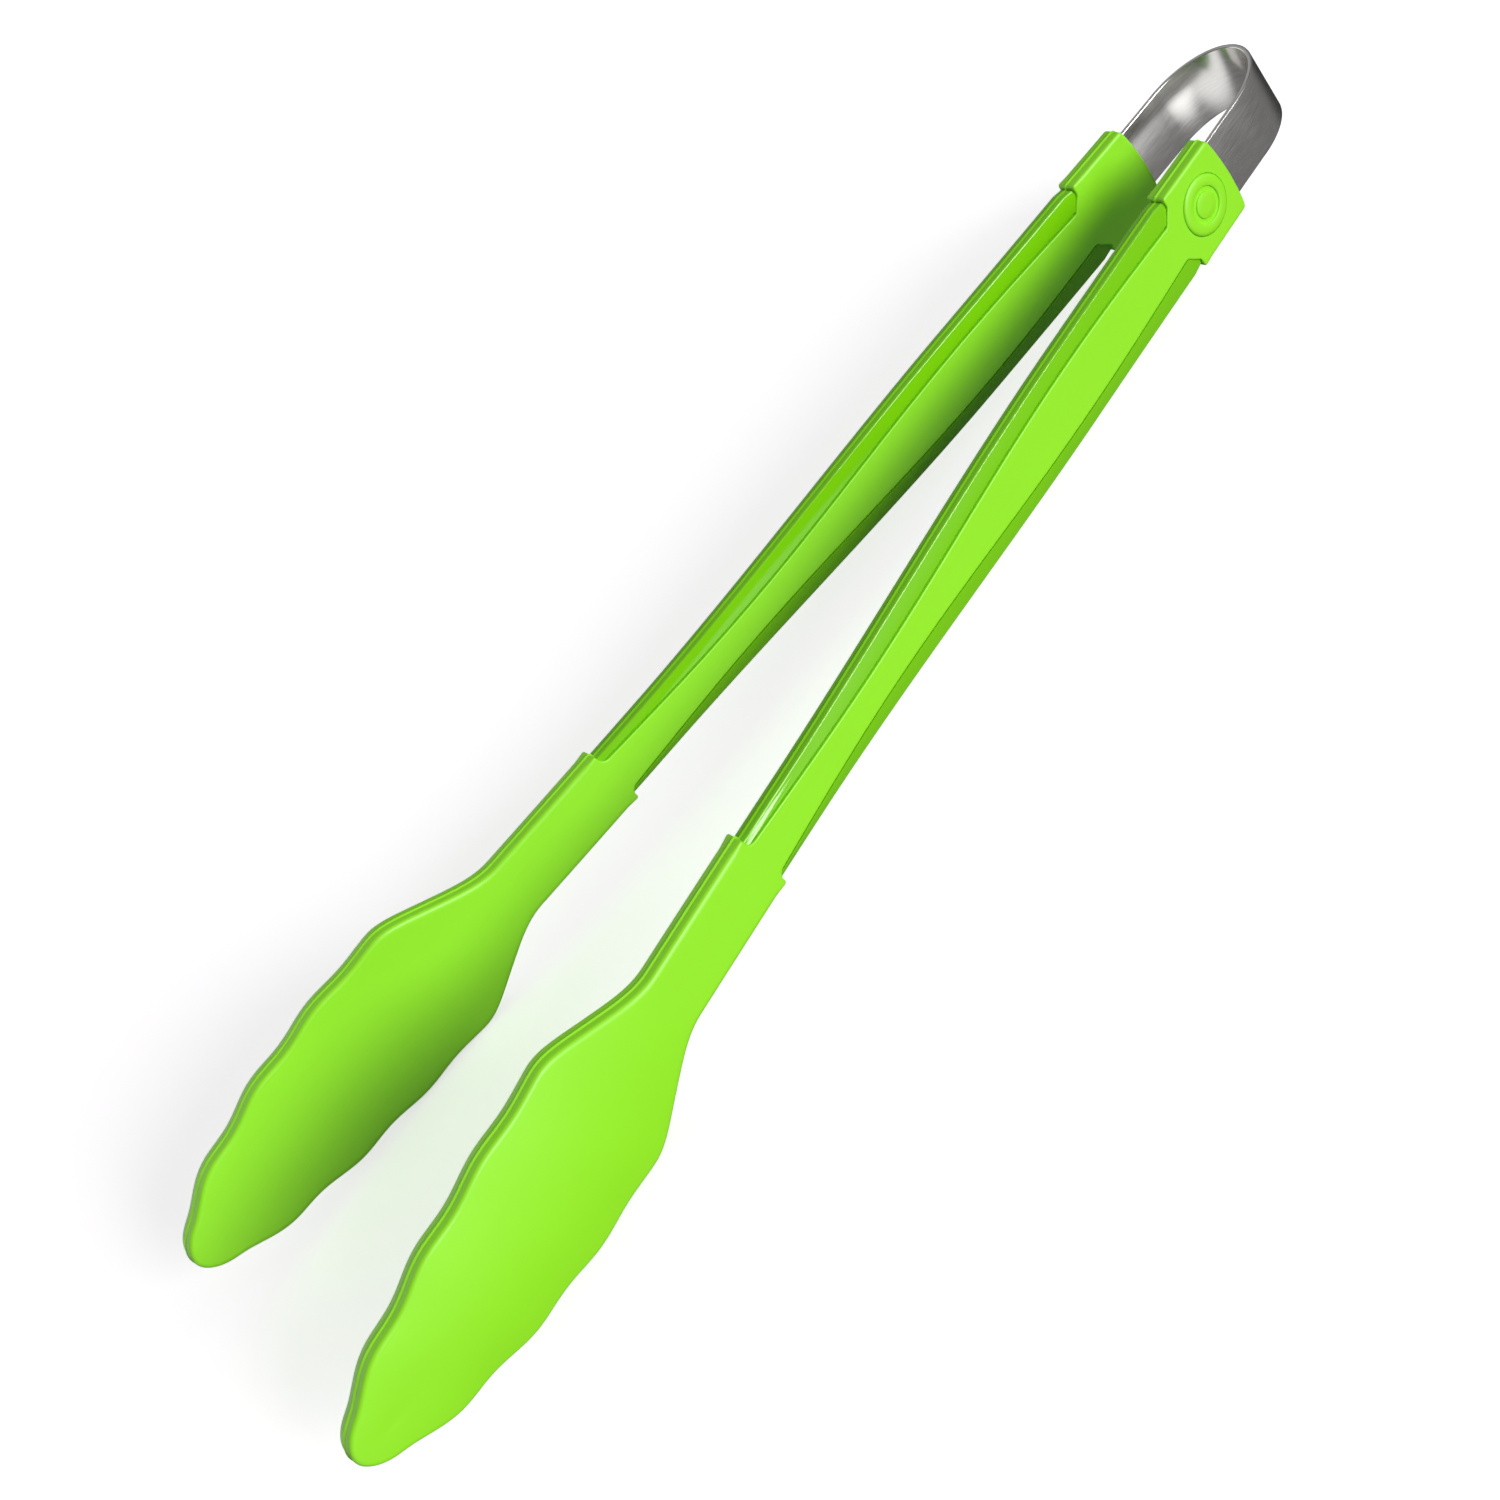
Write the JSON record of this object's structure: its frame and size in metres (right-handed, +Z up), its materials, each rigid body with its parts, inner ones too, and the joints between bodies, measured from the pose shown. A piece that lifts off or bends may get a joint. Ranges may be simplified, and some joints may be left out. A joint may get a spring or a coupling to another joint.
{
  "type": "spring loaded kitchen tongs",
  "caption": "Kitchen tongs with soft scalloped heads, hard glossy handles with soft grip stripes, and a steel spring bow that opens the arms",
  "frame": {"origin": "middle of the footprint, on the worktop that the tongs lie on, on their side", "axes": "+X along the tongs towards the spring bow, +Y from the front arm to the rear arm, the way the tongs open, +Z up, across the width of the arms"},
  "size_m": [0.2983, 0.0762, 0.0329],
  "materials": {
    "soft_skin": "lime green silicone rubber, satin and smooth",
    "hard_core": "lime green glossy nylon",
    "spring_steel": "stainless spring strip, finely brushed along its length",
    "fastening_steel": "plain stainless steel, hidden under the skin"
  },
  "bodies": {
    "spring": {"spring_strip": "spring_steel"},
    "front_arm": {"front_outer_skin": "soft_skin", "front_inner_skin": "soft_skin", "front_outer_core": "hard_core", "front_inner_core": "hard_core", "front_spine": "fastening_steel", "front_end_rivet": "fastening_steel", "front_neck_rivet": "fastening_steel", "front_end_washer": "fastening_steel", "front_neck_washer": "fastening_steel", "front_badge": "soft_skin"},
    "rear_arm": {"rear_outer_skin": "soft_skin", "rear_inner_skin": "soft_skin", "rear_outer_core": "hard_core", "rear_inner_core": "hard_core", "rear_spine": "fastening_steel", "rear_end_rivet": "fastening_steel", "rear_neck_rivet": "fastening_steel", "rear_end_washer": "fastening_steel", "rear_neck_washer": "fastening_steel", "rear_badge": "soft_skin"}
  },
  "joints": [
    {"name": "front_squeeze", "type": "hinge", "parent": "spring", "child": "front_arm", "pos_m": [0.138, 0, 0.01645], "axis": [0, 0, -1], "range_deg": [0, 6.35], "stiffness_Nm_per_rad": 4, "deforming": ["spring_strip"]},
    {"name": "rear_squeeze", "type": "hinge", "parent": "spring", "child": "rear_arm", "pos_m": [0.138, 0, 0.01645], "axis": [0, 0, 1], "range_deg": [0, 6.35], "stiffness_Nm_per_rad": 4, "deforming": ["spring_strip"]}
  ],
  "couplings": [
    {"joint": "rear_squeeze", "follows": "front_squeeze", "ratio": 1}
  ]
}
